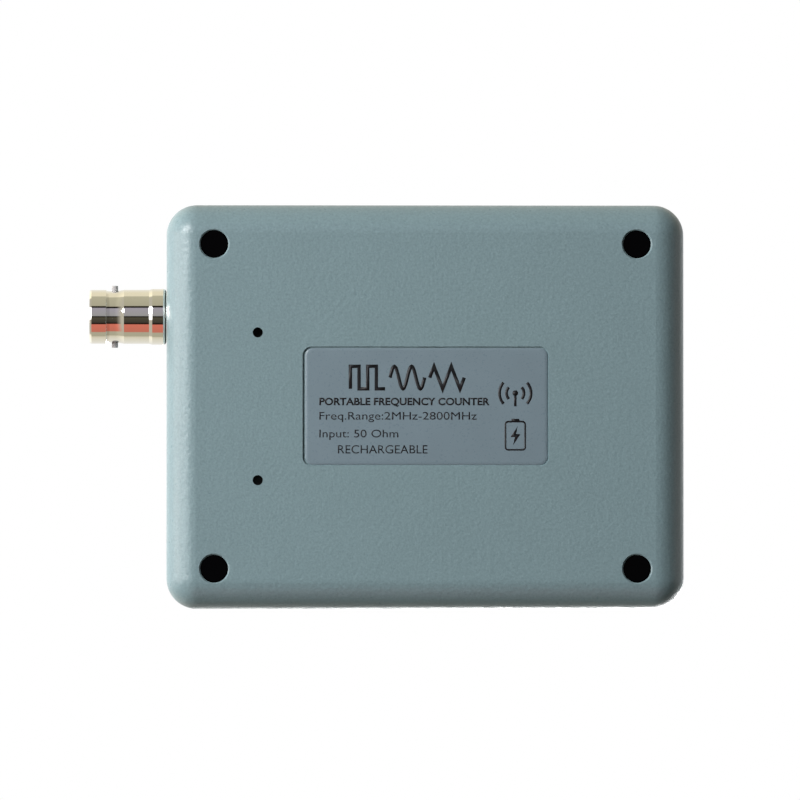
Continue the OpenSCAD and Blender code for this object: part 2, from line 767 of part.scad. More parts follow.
battery = [40, 30, 6];
battery_x = -39;                // its inner end, next to the charging socket's wall
battery_y = 3;
pad_t = 0.5;
battery_z = main_top + pad_t;
battery_end = battery_x + battery[0];
protection_t = 1.2;
plug_x = -4;
plug_face_y = 22.15;            // the leads meet the plug here
connector_y = 25;
lead_r = 0.55;
lead_z = main_top + 3.4;
lead_start_x = battery_end + protection_t;

module battery_pad() {
    color([0.2, 0.2, 0.22]) centred_box([battery[0] - 6, battery[1] - 6, pad_t],
        [battery_x + battery[0] / 2, battery_y, main_top]);
}

// A pouch cell with rounded long sides
module battery_pouch() {
    color([0.72, 0.73, 0.75]) translate([battery_x, battery_y, battery_z + battery[2] / 2])
        rotate([90, 0, 90]) linear_extrude(battery[0]) rounded_rect(battery[1], battery[2], 1.8);
}

module battery_protection_board() {
    color([0.05, 0.3, 0.16]) centred_box([protection_t, battery[1] - 6, battery[2] - 1.6],
        [battery_end + protection_t / 2, battery_y, battery_z + 0.8]);
}

// The part on the main board: a shroud that is open towards the battery's leads
module battery_connector() {
    color([0.9, 0.88, 0.82]) translate([plug_x, connector_y, main_top]) difference() {
        centred_box([7.9, 4.8, 5.8], [0, 0, 0]);
        centred_box([6.3, 5, 6], [0, -1.4, 1]);
    }
}

module battery_plug() {
    color([0.93, 0.92, 0.88]) centred_box([6, 3.6, 4.6], [plug_x, plug_face_y + 1.8, main_top + 1.1]);
}

module battery_lead_plus() {
    corner_x = lead_start_x + 2.8;
    corner_y = plug_face_y - 1.6;
    color([0.7, 0.05, 0.05]) translate([0, 0, lead_z]) wire([
        [lead_start_x, 6], [corner_x, 6], [corner_x, corner_y],
        [plug_x + 1.5, corner_y], [plug_x + 1.5, plug_face_y]
    ], lead_r, 1.5);
}

module battery_lead_minus() {
    corner_x = lead_start_x + 1.4;
    corner_y = plug_face_y - 3.05;
    color([0.05, 0.05, 0.05]) translate([0, 0, lead_z]) wire([
        [lead_start_x, 9], [corner_x, 9], [corner_x, corner_y],
        [plug_x - 1.5, corner_y], [plug_x - 1.5, plug_face_y]
    ], lead_r, 1.2);
}

rear_case();
front_case();
case_screws();
screw_plugs();
rating_label();
front_overlay();
display_window();
status_light_pipe();
power_key();
mode_key();
hold_key();
light_key();
power_switch_plunger();
mode_switch_plunger();
hold_switch_plunger();
light_switch_plunger();
key_switch_housings();
key_switch_covers();
display_board();
display_board_screws();
display_frame();
display_glass();
display_polariser();
backlight_guide();
backlight_leds();
zebra_strips();
status_led();
main_board();
main_board_screws();
board_header();
board_socket();
header_pins();
microcontroller();
prescaler_chip();
input_amplifier();
charger_chip();
reference_oscillator();
shield_can();
smoothing_capacitors();
power_inductor();
trimmer_base();
trimmer_rotor();
reset_switch_base();
reset_plunger();
charging_socket_shell();
charging_socket_tongue();
socket_shell();
bayonet_studs();
socket_insulator();
centre_contact();
socket_ground_posts();
battery_pouch();
battery_protection_board();
battery_pad();
battery_connector();
battery_plug();
battery_lead_plus();
battery_lead_minus();
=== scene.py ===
import json
import math

import bmesh
import bpy
from mathutils import Matrix, Vector

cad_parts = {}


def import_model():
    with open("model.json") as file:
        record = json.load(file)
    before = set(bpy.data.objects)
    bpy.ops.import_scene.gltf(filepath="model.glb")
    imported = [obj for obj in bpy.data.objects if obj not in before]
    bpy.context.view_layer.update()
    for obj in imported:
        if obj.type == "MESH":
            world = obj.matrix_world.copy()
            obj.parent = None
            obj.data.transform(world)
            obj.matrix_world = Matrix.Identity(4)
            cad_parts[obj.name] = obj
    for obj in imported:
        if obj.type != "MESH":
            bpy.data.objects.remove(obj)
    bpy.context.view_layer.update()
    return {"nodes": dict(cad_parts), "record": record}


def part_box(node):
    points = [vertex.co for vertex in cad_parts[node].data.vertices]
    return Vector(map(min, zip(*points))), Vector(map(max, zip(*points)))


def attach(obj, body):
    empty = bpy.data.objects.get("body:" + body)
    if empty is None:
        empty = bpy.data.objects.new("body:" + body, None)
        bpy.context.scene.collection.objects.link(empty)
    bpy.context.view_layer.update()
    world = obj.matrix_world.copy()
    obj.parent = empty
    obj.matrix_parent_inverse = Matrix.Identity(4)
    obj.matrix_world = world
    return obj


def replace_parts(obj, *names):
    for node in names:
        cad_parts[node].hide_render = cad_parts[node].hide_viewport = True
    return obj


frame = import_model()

MM = 0.001


# ---------------------------------------------------------------- node helpers

MIX_FACTOR, MIX_A, MIX_B, MIX_RESULT = 0, 6, 7, 2      # the sockets of a mix of colours


class Nodes:
    """A node tree under construction. A source is a node, or a (node, output) pair."""

    def __init__(self, owner):
        owner.use_nodes = True
        self.tree = owner.node_tree
        self.tree.nodes.clear()

    def new(self, kind):
        return self.tree.nodes.new("ShaderNode" + kind)

    def feed(self, node, socket, value):
        """Links a source to a node's input, or sets the input to a number or a tuple of them."""
        if isinstance(value, bpy.types.Node):
            value = (value, 0)
        if isinstance(value, tuple) and isinstance(value[0], bpy.types.Node):
            self.tree.links.new(value[0].outputs[value[1]], node.inputs[socket])
        else:
            node.inputs[socket].default_value = value

    def ramp(self, source, stops):
        """A colour ramp through (position, colour or grey level) stops."""
        node = self.new("ValToRGB")
        elements = node.color_ramp.elements
        while len(elements) > 1:
            elements.remove(elements[-1])
        for i, (position, colour) in enumerate(stops):
            element = elements[0] if i == 0 else elements.new(position)
            element.position = position
            element.color = opaque(colour if isinstance(colour, tuple) else (colour,) * 3)
        self.feed(node, "Fac", source)
        return node

    def map_range(self, source, low, high, to_low, to_high):
        """Takes low..high to to_low..to_high, and stays within that."""
        node = self.new("MapRange")
        self.feed(node, "Value", source)
        self.feed(node, "From Min", low)
        self.feed(node, "From Max", high)
        self.feed(node, "To Min", to_low)
        self.feed(node, "To Max", to_high)
        return node

    def calc(self, operation, a, b):
        """An operation on two sources or numbers."""
        node = self.new("Math")
        node.operation = operation
        self.feed(node, 0, a)
        self.feed(node, 1, b)
        return node

    def mix(self, blend, factor, a, b):
        """A mix of two colours; its result is a source."""
        node = self.new("Mix")
        node.data_type = "RGBA"
        node.blend_type = blend
        self.feed(node, MIX_FACTOR, factor)
        self.feed(node, MIX_A, a)
        self.feed(node, MIX_B, b)
        return node, MIX_RESULT

    def choose(self, factor, a, b):
        """Shader a where the factor is 0, and shader b where it is 1."""
        node = self.new("MixShader")
        for socket, value in enumerate((factor, a, b)):
            self.feed(node, socket, value)
        return node

    def background(self, colour, strength):
        node = self.new("Background")
        self.feed(node, "Color", colour)
        self.feed(node, "Strength", strength)
        return node


class Mat(Nodes):
    """A material under construction, round one principled shader."""

    def __init__(self, name):
        self.mat = bpy.data.materials.new(name)
        super().__init__(self.mat)
        self.bsdf = self.new("BsdfPrincipled")
        self.coord = self.new("TexCoord")
        self.out = self.new("OutputMaterial")
        self.feed(self.out, "Surface", self.bsdf)

    def set(self, **values):
        """Feeds the shader's inputs, named with an underscore for each space."""
        for name, value in values.items():
            self.feed(self.bsdf, name.replace("_", " "), value)

    def texture(self, kind, size_mm, stretch=(1, 1, 1)):
        """A texture whose grain has a size on the object itself."""
        mapping = self.new("Mapping")
        self.feed(mapping, "Vector", (self.coord, "Object"))
        self.feed(mapping, "Scale", stretch)
        node = self.new(kind)
        self.feed(node, "Vector", mapping)
        self.feed(node, "Scale", 1 / (size_mm * MM))
        return node

    def noise(self, size_mm, detail=2.0, rough=0.5, stretch=(1, 1, 1)):
        node = self.texture("TexNoise", size_mm, stretch)
        self.feed(node, "Detail", detail)
        self.feed(node, "Roughness", rough)
        return node

    def voronoi(self, size_mm, feature="F1"):
        node = self.texture("TexVoronoi", size_mm)
        node.feature = feature
        return node

    def bump(self, *layers):
        """Chains (height source, depth in mm) layers into the shader's normal."""
        below = None
        for height, depth in layers:
            node = self.new("Bump")
            self.feed(node, "Distance", depth * MM)
            self.feed(node, "Height", height)
            if below is not None:
                self.feed(node, "Normal", below)
            below = node
        self.set(Normal=below)


def opaque(colour):
    return (*colour, 1)


def srgb(r, g, b):
    """Linear colour from 8-bit sRGB values."""
    return tuple(c / 255 / 12.92 if c <= 10 else ((c / 255 + 0.055) / 1.055) ** 2.4 for c in (r, g, b))


def shade(colour, k):
    return tuple(c * k for c in colour)


# ---------------------------------------------------------------- materials

CASE = (0.238, 0.344, 0.374)
NICKEL = (0.86, 0.84, 0.80)
LOW, HIGH = 0.3, 0.7          # most of a noise's values lie between these


def moulded(name, colour, roughness, grain, depth):
    """Moulded plastic: a fine spark-eroded grain over a coarser, faintly uneven skin."""
    speckle, swell, spread = 0.11, 0.065, 0.06
    m = Mat(name)
    fine = m.noise(grain, detail=3, rough=0.65)
    pits = m.voronoi(grain * 1.3)
    uneven = m.noise(grain * 2.1, rough=0.6)
    speck = m.ramp(fine, [(LOW, shade(colour, 1 - speckle)), (HIGH, shade(colour, 1 + speckle))])
    blotch = m.ramp(m.noise(9), [(LOW, 0.97), (HIGH, 1.0)])
    m.set(Base_Color=m.mix("MULTIPLY", 1.0, speck, blotch), IOR=1.5, Specular_IOR_Level=0.5,
          Roughness=m.map_range(uneven, LOW, HIGH, roughness - spread, roughness + spread))
    m.bump((uneven, swell), (fine, depth), (pits, depth * 0.2))
    return m.mat


def metal(name, colour, roughness, brushed=None, depth=0.001, vary=0.06):
    m = Mat(name)
    cloud = m.noise(1.5, detail=3)
    line = m.noise(0.08, stretch=brushed) if brushed else m.noise(0.15)
    m.set(Base_Color=m.ramp(cloud, [(LOW, shade(colour, 1 - vary)), (HIGH, colour)]), Metallic=1.0,
          Roughness=m.map_range(line, LOW, HIGH, roughness * 0.8, roughness * 1.2))
    m.bump((line, depth))
    return m.mat


def simple(name, colour, roughness, grain=0.2, depth=0.004, vary=0.06, **more):
    """Any plain solid with a fine grain; more are other inputs of its shader."""
    m = Mat(name)
    fine = m.noise(grain)
    m.set(Base_Color=m.ramp(fine, [(LOW, shade(colour, 1 - vary)), (HIGH, shade(colour, 1 + vary))]),
          Roughness=m.map_range(fine, LOW, HIGH, roughness - 0.05, roughness + 0.05), **more)
    m.bump((fine, depth))
    return m.mat


def print_ink(name, colour, **more):
    return simple(name, colour, 0.4, depth=0.0005, **more)


def printed_film(name, colour, roughness, haze):
    """Polyester film: smooth, with a faint waviness from its adhesive and a fine grain in its gloss."""
    m = Mat(name)
    wavy = m.noise(7, detail=1)
    fine = m.noise(0.35)
    m.set(Base_Color=m.ramp(wavy, [(0.35, shade(colour, 1 - haze)), (0.65, shade(colour, 1 + haze))]),
          Roughness=m.map_range(fine, LOW, HIGH, roughness - 0.04, roughness + 0.05))
    m.bump((wavy, 0.02), (fine, 0.0008))
    return m.mat


def clear_pane(name):
    """Clear plastic that lamps shine through, with smears and faint hairline scratches."""
    m = Mat(name)
    scratch = m.noise(0.5, detail=3, stretch=(1, 14, 1))
    smear = m.noise(5)
    m.set(Base_Color=(0.97, 0.98, 0.98, 1), Transmission_Weight=1.0, IOR=1.4,
          Roughness=m.map_range(smear, 0.35, 0.65, 0.03, 0.07))
    m.bump((scratch, 0.0006))
    in_shadow = (m.new("LightPath"), "Is Shadow Ray")
    m.feed(m.out, "Surface", m.choose(in_shadow, m.bsdf, m.new("BsdfTransparent")))
    return m.mat


def solder_mask(name):
    """Green board lacquer with the faint relief of tracks under it."""
    m = Mat(name)
    tracks = m.noise(1.2, detail=1, stretch=(1, 3, 1))
    m.set(Base_Color=m.ramp(tracks, [(0.46, (0.010, 0.10, 0.035)), (0.5, (0.022, 0.17, 0.06))]),
          Roughness=m.map_range(tracks, 0.4, 0.6, 0.25, 0.36))
    m.bump((tracks, 0.02))
    return m.mat


def foil(name):
    """Crinkled aluminium laminate of a pouch cell."""
    m = Mat(name)
    crease = m.voronoi(4, "DISTANCE_TO_EDGE")
    fine = m.noise(0.6, detail=3)
    m.set(Base_Color=m.ramp(fine, [(LOW, (0.6, 0.61, 0.62)), (HIGH, (0.72, 0.73, 0.74))]),
          Roughness=m.map_range(fine, LOW, HIGH, 0.3, 0.42), Metallic=1.0)
    m.bump((crease, 0.05), (fine, 0.01))
    return m.mat


mats = {
    "case": moulded("case_plastic", CASE, 0.33, grain=0.4, depth=0.005),
    # black rubber plugs; their near-zero black, far below real rubber, is also painted shade of the
    # recesses they sit in
    "plug": simple("plug_rubber", (0.0012, 0.0012, 0.0016), 0.9, Specular_IOR_Level=0.02),
    "label": printed_film("label_film", (0.215, 0.288, 0.335), 0.3, haze=0.02),
    "ink": print_ink("black_ink", (0.010, 0.011, 0.014), Specular_IOR_Level=0.25),
    "overlay": printed_film("overlay_film", (0.018, 0.030, 0.045), 0.32, haze=0.1),
    "white_ink": print_ink("white_ink", (0.72, 0.76, 0.78)),
    "blue_ink": print_ink("blue_ink", (0.05, 0.25, 0.42)),
    "window": clear_pane("window_plastic"),
    "pipe": simple("light_pipe", (0.75, 0.75, 0.72), 0.15, Transmission_Weight=0.6),
    "key": moulded("key_plastic", (0.60, 0.63, 0.64), 0.4, grain=0.2, depth=0.003),
    "key_red": moulded("key_red_plastic", (0.45, 0.055, 0.035), 0.4, grain=0.2, depth=0.003),
    "black": simple("black_plastic", (0.012, 0.012, 0.013), 0.45),
    "steel": metal("plated_steel", (0.62, 0.62, 0.63), 0.28, brushed=(1, 8, 1)),
    "nickel": metal("polished_nickel", NICKEL, 0.05, depth=0.00006, vary=0.02),
    "stud": simple("dull_nickel", (0.42, 0.41, 0.415), 0.7, depth=0.0005, Specular_IOR_Level=0.2),
    "gold": metal("gold_plating", (0.90, 0.66, 0.28), 0.18),
    # a dark rotor, whose near-black is also painted shade: it stands in for the dark deep inside the
    # pinhole over it
    "rotor": metal("dark_rotor_and_pinhole_shade", (0.035, 0.032, 0.03), 0.55),
    "brass_can": metal("oscillator_can", (0.78, 0.70, 0.50), 0.25),
    "ptfe": simple("socket_insulator", (0.85, 0.84, 0.80), 0.45),
    "board": solder_mask("solder_mask"),
    "chip": simple("chip_resin", (0.02, 0.02, 0.022), 0.6),
    "ferrite": simple("ferrite", (0.05, 0.05, 0.052), 0.7, grain=0.35, depth=0.02),
    "foam": simple("foam", (0.03, 0.03, 0.033), 0.95, grain=0.5, depth=0.08),
    "ceramic": simple("trimmer_ceramic", (0.72, 0.69, 0.60), 0.5),
    "guide": simple("light_guide", (0.85, 0.88, 0.84), 0.25, grain=0.6),
    "resin": simple("led_resin", (0.85, 0.78, 0.35), 0.2),
    "zebra": simple("contact_rubber", (0.55, 0.25, 0.28), 0.6),
    "glass": simple("display_glass", (0.25, 0.30, 0.22), 0.1, vary=0.01),
    "polariser": printed_film("polariser_film", (0.26, 0.315, 0.215), 0.35, haze=0.02),
    "lcd_on": print_ink("lcd_segment", (0.020, 0.024, 0.026)),
    "lcd_off": print_ink("lcd_segment_off", (0.225, 0.272, 0.188), vary=0.01),
    "white": simple("white_plastic", (0.8, 0.78, 0.72), 0.4),
    "foil": foil("cell_foil"),
    "can": metal("capacitor_can", (0.74, 0.74, 0.76), 0.3),
    "red": simple("lead_red", (0.5, 0.01, 0.01), 0.4),
}
SLOTS = {
    "case_plastic": "case", "screw_steel": "steel", "plug_rubber": "plug", "label_film": "label",
    "overlay_film": "overlay", "window_plastic": "window", "clear_plastic": "pipe",
    "key_red": "key_red", "key_grey": "key", "black_plastic": "black", "switch_steel": "steel",
    "circuit_board": "board", "display_glass": "glass", "polariser_film": "polariser",
    "light_guide": "guide", "led_resin": "resin", "contact_rubber": "zebra", "pin_gold": "gold",
    "chip_resin": "chip", "oscillator_can": "brass_can", "shield_steel": "steel",
    "capacitor_can": "can", "ferrite": "ferrite", "trimmer_ceramic": "ceramic", "rotor_metal": "rotor",
    "nickel": "nickel", "socket_insulator": "ptfe", "cell_foil": "foil", "foam": "foam",
    "connector_white": "white", "lead_red": "red", "lead_black": "black",
}
for part in frame["record"]["subparts"]:
    materials = frame["nodes"][part["node"]].data.materials
    materials.clear()
    materials.append(mats[SLOTS[part["material_slot"]]])


# ---------------------------------------------------------------- places, from the frame
# These, and all shapes up to the camera, are in millimetres.

def box_of(node):
    lo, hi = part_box(node)
    return lo / MM, hi / MM


def middle_of(node):
    lo, hi = box_of(node)
    return (lo + hi) / 2


def mount(name):
    return next(m for m in frame["record"]["mounts"] if m["name"] == name)


SOCKET_AT = Vector(mount("input_socket")["pos_m"]) / MM
SOCKET_R = mount("input_socket")["dims"]["r_mm"]
CHARGE_Y = mount("charging_socket")["pos_m"][1] / MM
WALL_X = box_of("rear_case")[1].x
MOUTH = box_of("socket_shell")[1].x
WINDOW = middle_of("display_window")


# ---------------------------------------------------------------- mesh helpers

FROM_BELOW = Matrix.Rotation(math.pi, 4, "Y")      # turns a print over, to be read from behind
INK_T = 0.02                  # a print's thickness
INK_SINK = 0.004              # how far a print's back lies under the surface


def piece(name, bm, material, body, place=Matrix.Identity(4), sharp=35):
    """Makes a mesh object in metres from bm and lets it ride on a body."""
    bmesh.ops.transform(bm, matrix=Matrix.Scale(MM, 4) @ place, verts=bm.verts)
    for f in bm.faces:
        f.smooth = True
    mesh = bpy.data.meshes.new(name)
    bm.to_mesh(mesh)
    bm.free()
    mesh.set_sharp_from_angle(angle=math.radians(sharp))
    mesh.materials.append(mats[material])
    o = bpy.data.objects.new(name, mesh)
    bpy.context.scene.collection.objects.link(o)
    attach(o, body)
    return o


def printed(name, bm, material, body, place):
    """A piece that is drawn flat, with an ink film's thickness outwards from its surface."""
    m = piece(name, bm, material, body, place).modifiers.new("ink_film", "SOLIDIFY")
    m.thickness = INK_T * MM
    m.offset = 1


def polygon(bm, points):
    """A flat face that faces +Z whichever way round its points run."""
    turn = sum(a[0] * b[1] - b[0] * a[1] for a, b in zip(points, points[1:] + points[:1]))
    bm.faces.new([bm.verts.new((x, y, 0)) for x, y in (points if turn > 0 else reversed(points))])


def rectangle(bm, x0, y0, x1, y1):
    polygon(bm, [(x0, y0), (x1, y0), (x1, y1), (x0, y1)])


def ribbon(bm, points, width, closed=False):
    """A line of even width along points, with mitred corners."""
    least_cosine = 0.35       # keeps the mitre of a very sharp corner short
    points = [Vector(p) for p in points]
    n = len(points)
    sides = []
    for i, p in enumerate(points):
        ways = []
        if closed or i > 0:
            ways.append((p - points[i - 1]).normalized())
        if closed or i < n - 1:
            ways.append((points[(i + 1) % n] - p).normalized())
        normals = [Vector((-way.y, way.x)) for way in ways]
        mitre = sum(normals, Vector((0, 0))).normalized()
        reach = width / 2 / max(mitre.dot(normals[0]), least_cosine)
        sides.append([bm.verts.new((*(p + mitre * reach), 0)), bm.verts.new((*(p - mitre * reach), 0))])
    for i in range(n if closed else n - 1):
        a, b = sides[i], sides[(i + 1) % n]
        bm.faces.new((a[1], b[1], b[0], a[0]))


def moved(points, x, y):
    return [(x + u, y + v) for u, v in points]


def arc(cx, cy, r, start, end, steps=24):
    """Points on an arc between two angles, in degrees."""
    angles = [math.radians(start + (end - start) * i / steps) for i in range(steps + 1)]
    return [(cx + r * math.cos(a), cy + r * math.sin(a)) for a in angles]


def circle(cx, cy, r, steps=24):
    return arc(cx, cy, r, 0, 360, steps)[:-1]


def rounded_loop(w, d, r, steps=6):
    """Points of a rounded rectangle round the origin, anticlockwise."""
    loop = []
    for sx, sy, start in ((1, 1, 0), (-1, 1, 90), (-1, -1, 180), (1, -1, 270)):
        loop += arc(sx * (w / 2 - r), sy * (d / 2 - r), r, start, start + 90, steps)
    return loop


def sine(x0, x1, y, swing, waves, steps):
    """Points along a sine wave."""
    return [(x0 + (x1 - x0) * i / steps, y + swing * math.sin(2 * math.pi * waves * i / steps))
            for i in range(steps + 1)]


def loft(bm, rings):
    """Joins rings of equal length, each a list of (x, y, z), and closes the first and last."""
    made = [[bm.verts.new(p) for p in ring] for ring in rings]
    n = len(rings[0])
    for low, high in zip(made, made[1:]):
        for i in range(n):
            j = (i + 1) % n
            bm.faces.new((low[i], low[j], high[j], high[i]))
    bm.faces.new(list(reversed(made[0])))
    bm.faces.new(made[-1])


def filleted(points, radius, steps=4):
    """Rounds the corners of a closed outline of (x, y) points, or (x, y, its own radius) points."""
    most = 0.48               # the share of a side that a corner may take
    out = []
    for i, point in enumerate(points):
        p = Vector(point[:2])
        r = point[2] if len(point) > 2 else radius
        if r == 0:
            out.append(tuple(p))
            continue
        a = Vector(points[i - 1][:2]) - p
        b = Vector(points[(i + 1) % len(points)][:2]) - p
        cut = min(r / math.tan(a.angle(b) / 2), a.length * most, b.length * most)
        start, end = p + a.normalized() * cut, p + b.normalized() * cut
        for k in range(steps + 1):
            t = k / steps
            out.append(tuple(start * (1 - t) ** 2 + p * 2 * t * (1 - t) + end * t ** 2))
    return out


def turned(bm, outline, at, axis="X", steps=128):
    """Revolves a closed outline of (along, radius) points round an axis, X or Y, through at."""
    rings = []
    for i in range(steps):
        a = 2 * math.pi * i / steps
        c, s = math.cos(a), math.sin(a)
        if axis == "X":
            ring = [(at.x + u, at.y + r * c, at.z + r * s) for u, r in outline]
        else:
            ring = [(at.x + r * s, at.y + u, at.z + r * c) for u, r in outline]
        rings.append([bm.verts.new(p) for p in ring])
    n = len(outline)
    for a, b in zip(rings, rings[1:] + rings[:1]):
        for j in range(n):
            k = (j + 1) % n
            bm.faces.new((a[j], a[k], b[k], b[j]))
    bmesh.ops.remove_doubles(bm, verts=bm.verts, dist=1e-6)
    bmesh.ops.recalc_face_normals(bm, faces=bm.faces)


def text_mesh(text, bold):
    curve = bpy.data.curves.new("lettering", "FONT")
    curve.body = text
    curve.offset = bold
    curve.resolution_u = 5
    o = bpy.data.objects.new("lettering", curve)
    bpy.context.scene.collection.objects.link(o)
    bpy.context.view_layer.update()
    mesh = bpy.data.meshes.new_from_object(o)
    bpy.data.objects.remove(o)
    bpy.data.curves.remove(curve)
    return mesh


def lettering(bm, text, x, y, cap, width=None, bold=0.0, align="LEFT"):
    """Adds flat lettering to bm, its baseline's start (or middle or end) at x, y.

    Its capitals are cap high. It is stretched to a width if there is one."""
    measure = text_mesh("H", bold)
    tall = max(v.co.y for v in measure.vertices) - min(v.co.y for v in measure.vertices)
    bpy.data.meshes.remove(measure)
    mesh = text_mesh(text, bold)
    low, high = min(v.co.x for v in mesh.vertices), max(v.co.x for v in mesh.vertices)
    sy = cap / tall
    sx = width / (high - low) if width else sy
    start = x - {"LEFT": 0, "CENTER": 0.5, "RIGHT": 1}[align] * (high - low) * sx
    for v in mesh.vertices:
        v.co = ((v.co.x - low) * sx + start, v.co.y * sy + y, 0)
    bm.from_mesh(mesh)
    bpy.data.meshes.remove(mesh)


# ---------------------------------------------------------------- the back's label

LABEL_CORNER = 1.35
LABEL_EDGE = (                # (inset, share of the thickness) steps, outwards
    (0, 0), (0, 0.5), (0.12, 0.725), (0.3, 0.9), (0.5, 0.98), (0.7, 1),
)
LABEL_LINES = (               # drawn round the label's middle, like all its print
    # text, left end, baseline, height of capitals, width, boldness
    ("PORTABLE FREQUENCY COUNTER", -19.0, 0.25, 1.32, 30.2, 0.03),
    ("Freq.Range:2MHz-2800MHz", -19.0, -2.35, 1.35, 27.9, 0.0),
    ("Input: 50 Ohm", -19.0, -5.5, 1.35, 14.0, 0.0),
    ("RECHARGEABLE", -15.7, -8.35, 1.45, 15.9, 0.0),
)
ICONS_X = 15.75
WAVES = (-13.5, 6.7, 3.1, 7.1)     # left, right, bottom and top of the row of wave forms


def label_film():
    """The label's film, whose outer edge is rounded."""
    lo, hi = box_of("rating_label")
    size, centre = hi - lo, (lo + hi) / 2
    rings = []
    for inset, share in LABEL_EDGE:
        loop = rounded_loop(size.x - 2 * inset, size.y - 2 * inset, LABEL_CORNER - inset, 8)
        rings.append([(centre.x - x, centre.y + y, hi.z - share * size.z) for x, y in loop])
    bm = bmesh.new()
    loft(bm, rings)
    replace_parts(piece("label_sheet", bm, "label", "case", sharp=60), "rating_label")


def pulse_row(bm, x0, x1, low, high, width):
    """Three little wave forms in a row, two waves of each: square, sine and triangle."""
    gap = 0.9
    span = (x1 - x0 - 2 * gap) / 3
    middle, swing = (low + high) / 2, (high - low) / 2
    square = []
    for i in range(2):
        a = x0 + i * span / 2
        square += [(a, low), (a, high), (a + span / 4, high), (a + span / 4, low)]
    ribbon(bm, square + [(x0 + span, low)], width)
    x = x0 + span + gap
    ribbon(bm, sine(x, x + span, middle, swing, 2, 40), width)
    x = x1 - span
    ribbon(bm, [(x + span * i / 8, middle + swing * (0, 1, 0, -1)[i % 4]) for i in range(9)], width)


def mast_icon(bm, cx, cy):
    """A mast with waves going out on both sides."""
    top, wave_half_angle = cy + 0.35, 42
    polygon(bm, circle(cx, top, 0.5))
    ribbon(bm, [(cx, cy + 0.2), (cx, cy - 2.0)], 0.42)
    for r in (1.55, 2.8):
        for turn in (0, 180):
            ribbon(bm, arc(cx, top, r, turn - wave_half_angle, turn + wave_half_angle, 16), 0.5)


def battery_icon(bm, cx, cy):
    """An upright battery with a charging bolt."""
    ribbon(bm, moved(rounded_loop(3.5, 5.0, 0.5, 4), cx, cy), 0.3, closed=True)
    rectangle(bm, cx - 0.7, cy + 2.55, cx + 0.7, cy + 3.0)
    bolt = [(0.45, 1.7), (-0.85, -0.25), (-0.05, -0.25), (-0.4, -1.7), (0.9, 0.3), (0.1, 0.3)]
    polygon(bm, moved(bolt, cx, cy))


def label_print():
    bm = bmesh.new()
    pulse_row(bm, *WAVES, 0.6)
    for line in LABEL_LINES:
        lettering(bm, *line)
    mast_icon(bm, ICONS_X, 2.0)
    battery_icon(bm, ICONS_X, -5.2)
    lo, hi = box_of("rating_label")
    place = Matrix.Translation(((lo.x + hi.x) / 2, (lo.y + hi.y) / 2, lo.z + INK_SINK)) @ FROM_BELOW
    printed("label_print", bm, "ink", "case", place)


label_film()
label_print()


# ---------------------------------------------------------------- the keys' captions and marks

def power_icon(bm):
    ribbon(bm, arc(0, 0, 1.25, 125, 415, 28), 0.32)
    ribbon(bm, [(0, 0.35), (0, 1.75)], 0.32)


def mode_icon(bm):
    ribbon(bm, sine(-1.9, 1.9, 0, 1.15, 2, 32), 0.32)


def hold_icon(bm):
    for x in (-0.75, 0.75):
        rectangle(bm, x - 0.33, -1.25, x + 0.33, 1.25)


def light_icon(bm):
    ribbon(bm, circle(0, 0, 0.72), 0.28, closed=True)
    for i in range(8):
        c, s = math.cos(i * math.pi / 4), math.sin(i * math.pi / 4)
        ribbon(bm, [(1.15 * c, 1.15 * s), (1.8 * c, 1.8 * s)], 0.26)


KEYS = {"power_key": ("POWER", power_icon), "mode_key": ("MODE", mode_icon),
        "hold_key": ("HOLD", hold_icon), "light_key": ("LIGHT", light_icon)}


# ---------------------------------------------------------------- the front's print

OVERLAY_LO, OVERLAY_HI = box_of("front_overlay")
OVERLAY = OVERLAY_HI - OVERLAY_LO
TITLE_HALF_W = 28.5           # how far the title line reaches to both sides
TITLE_RISE = 13.2             # its height over the window's middle
CAPTION_RISE = 5.3            # a key's caption over its key's middle
ARROW_L, ARROW_HALF_W = 2.0, 1.0
INPUT_TIP, CHARGE_TIP = 37.0, -37.2                # where the arrows to the sockets end
INPUT_X = 34.0                # the middle of the words by the input socket
RULE_Y = -4.2                 # the line between the display and the keys


def on_overlay(name, bm, material):
    printed(name, bm, material, "case", Matrix.Translation((0, 0, OVERLAY_HI.z - INK_SINK)))


def arrow_head(bm, tip, y, side):
    """A triangle that points to +X or -X, as side is 1 or -1."""
    base = tip - side * ARROW_L
    polygon(bm, [(base, y - ARROW_HALF_W), (tip, y), (base, y + ARROW_HALF_W)])


def front_print():
    bm = bmesh.new()
    title_y = WINDOW.y + TITLE_RISE
    lettering(bm, "FREQUENCY COUNTER", -TITLE_HALF_W, title_y, 1.9, bold=0.02)
    lettering(bm, "2 MHz - 2800 MHz", TITLE_HALF_W, title_y, 1.5, align="RIGHT")
    for node, (caption, _) in KEYS.items():
        at = middle_of(node)
        lettering(bm, caption, at.x, at.y + CAPTION_RISE, 1.35, align="CENTER", bold=0.01)
    status = middle_of("status_light_pipe")
    lettering(bm, "CHARGE", status.x + 2.4, status.y - 0.65, 1.3)
    input_y = SOCKET_AT.y
    lettering(bm, "INPUT", INPUT_X, input_y + 2.2, 1.35, align="CENTER", bold=0.01)
    ribbon(bm, [(INPUT_TIP - 5.8, input_y), (INPUT_TIP - 1.8, input_y)], 0.35)
    arrow_head(bm, INPUT_TIP, input_y, 1)
    lettering(bm, "50 Ohm", INPUT_X, input_y - 3.4, 1.15, align="CENTER")
    arrow_head(bm, CHARGE_TIP, CHARGE_Y, -1)
    on_overlay("front_print", bm, "white_ink")


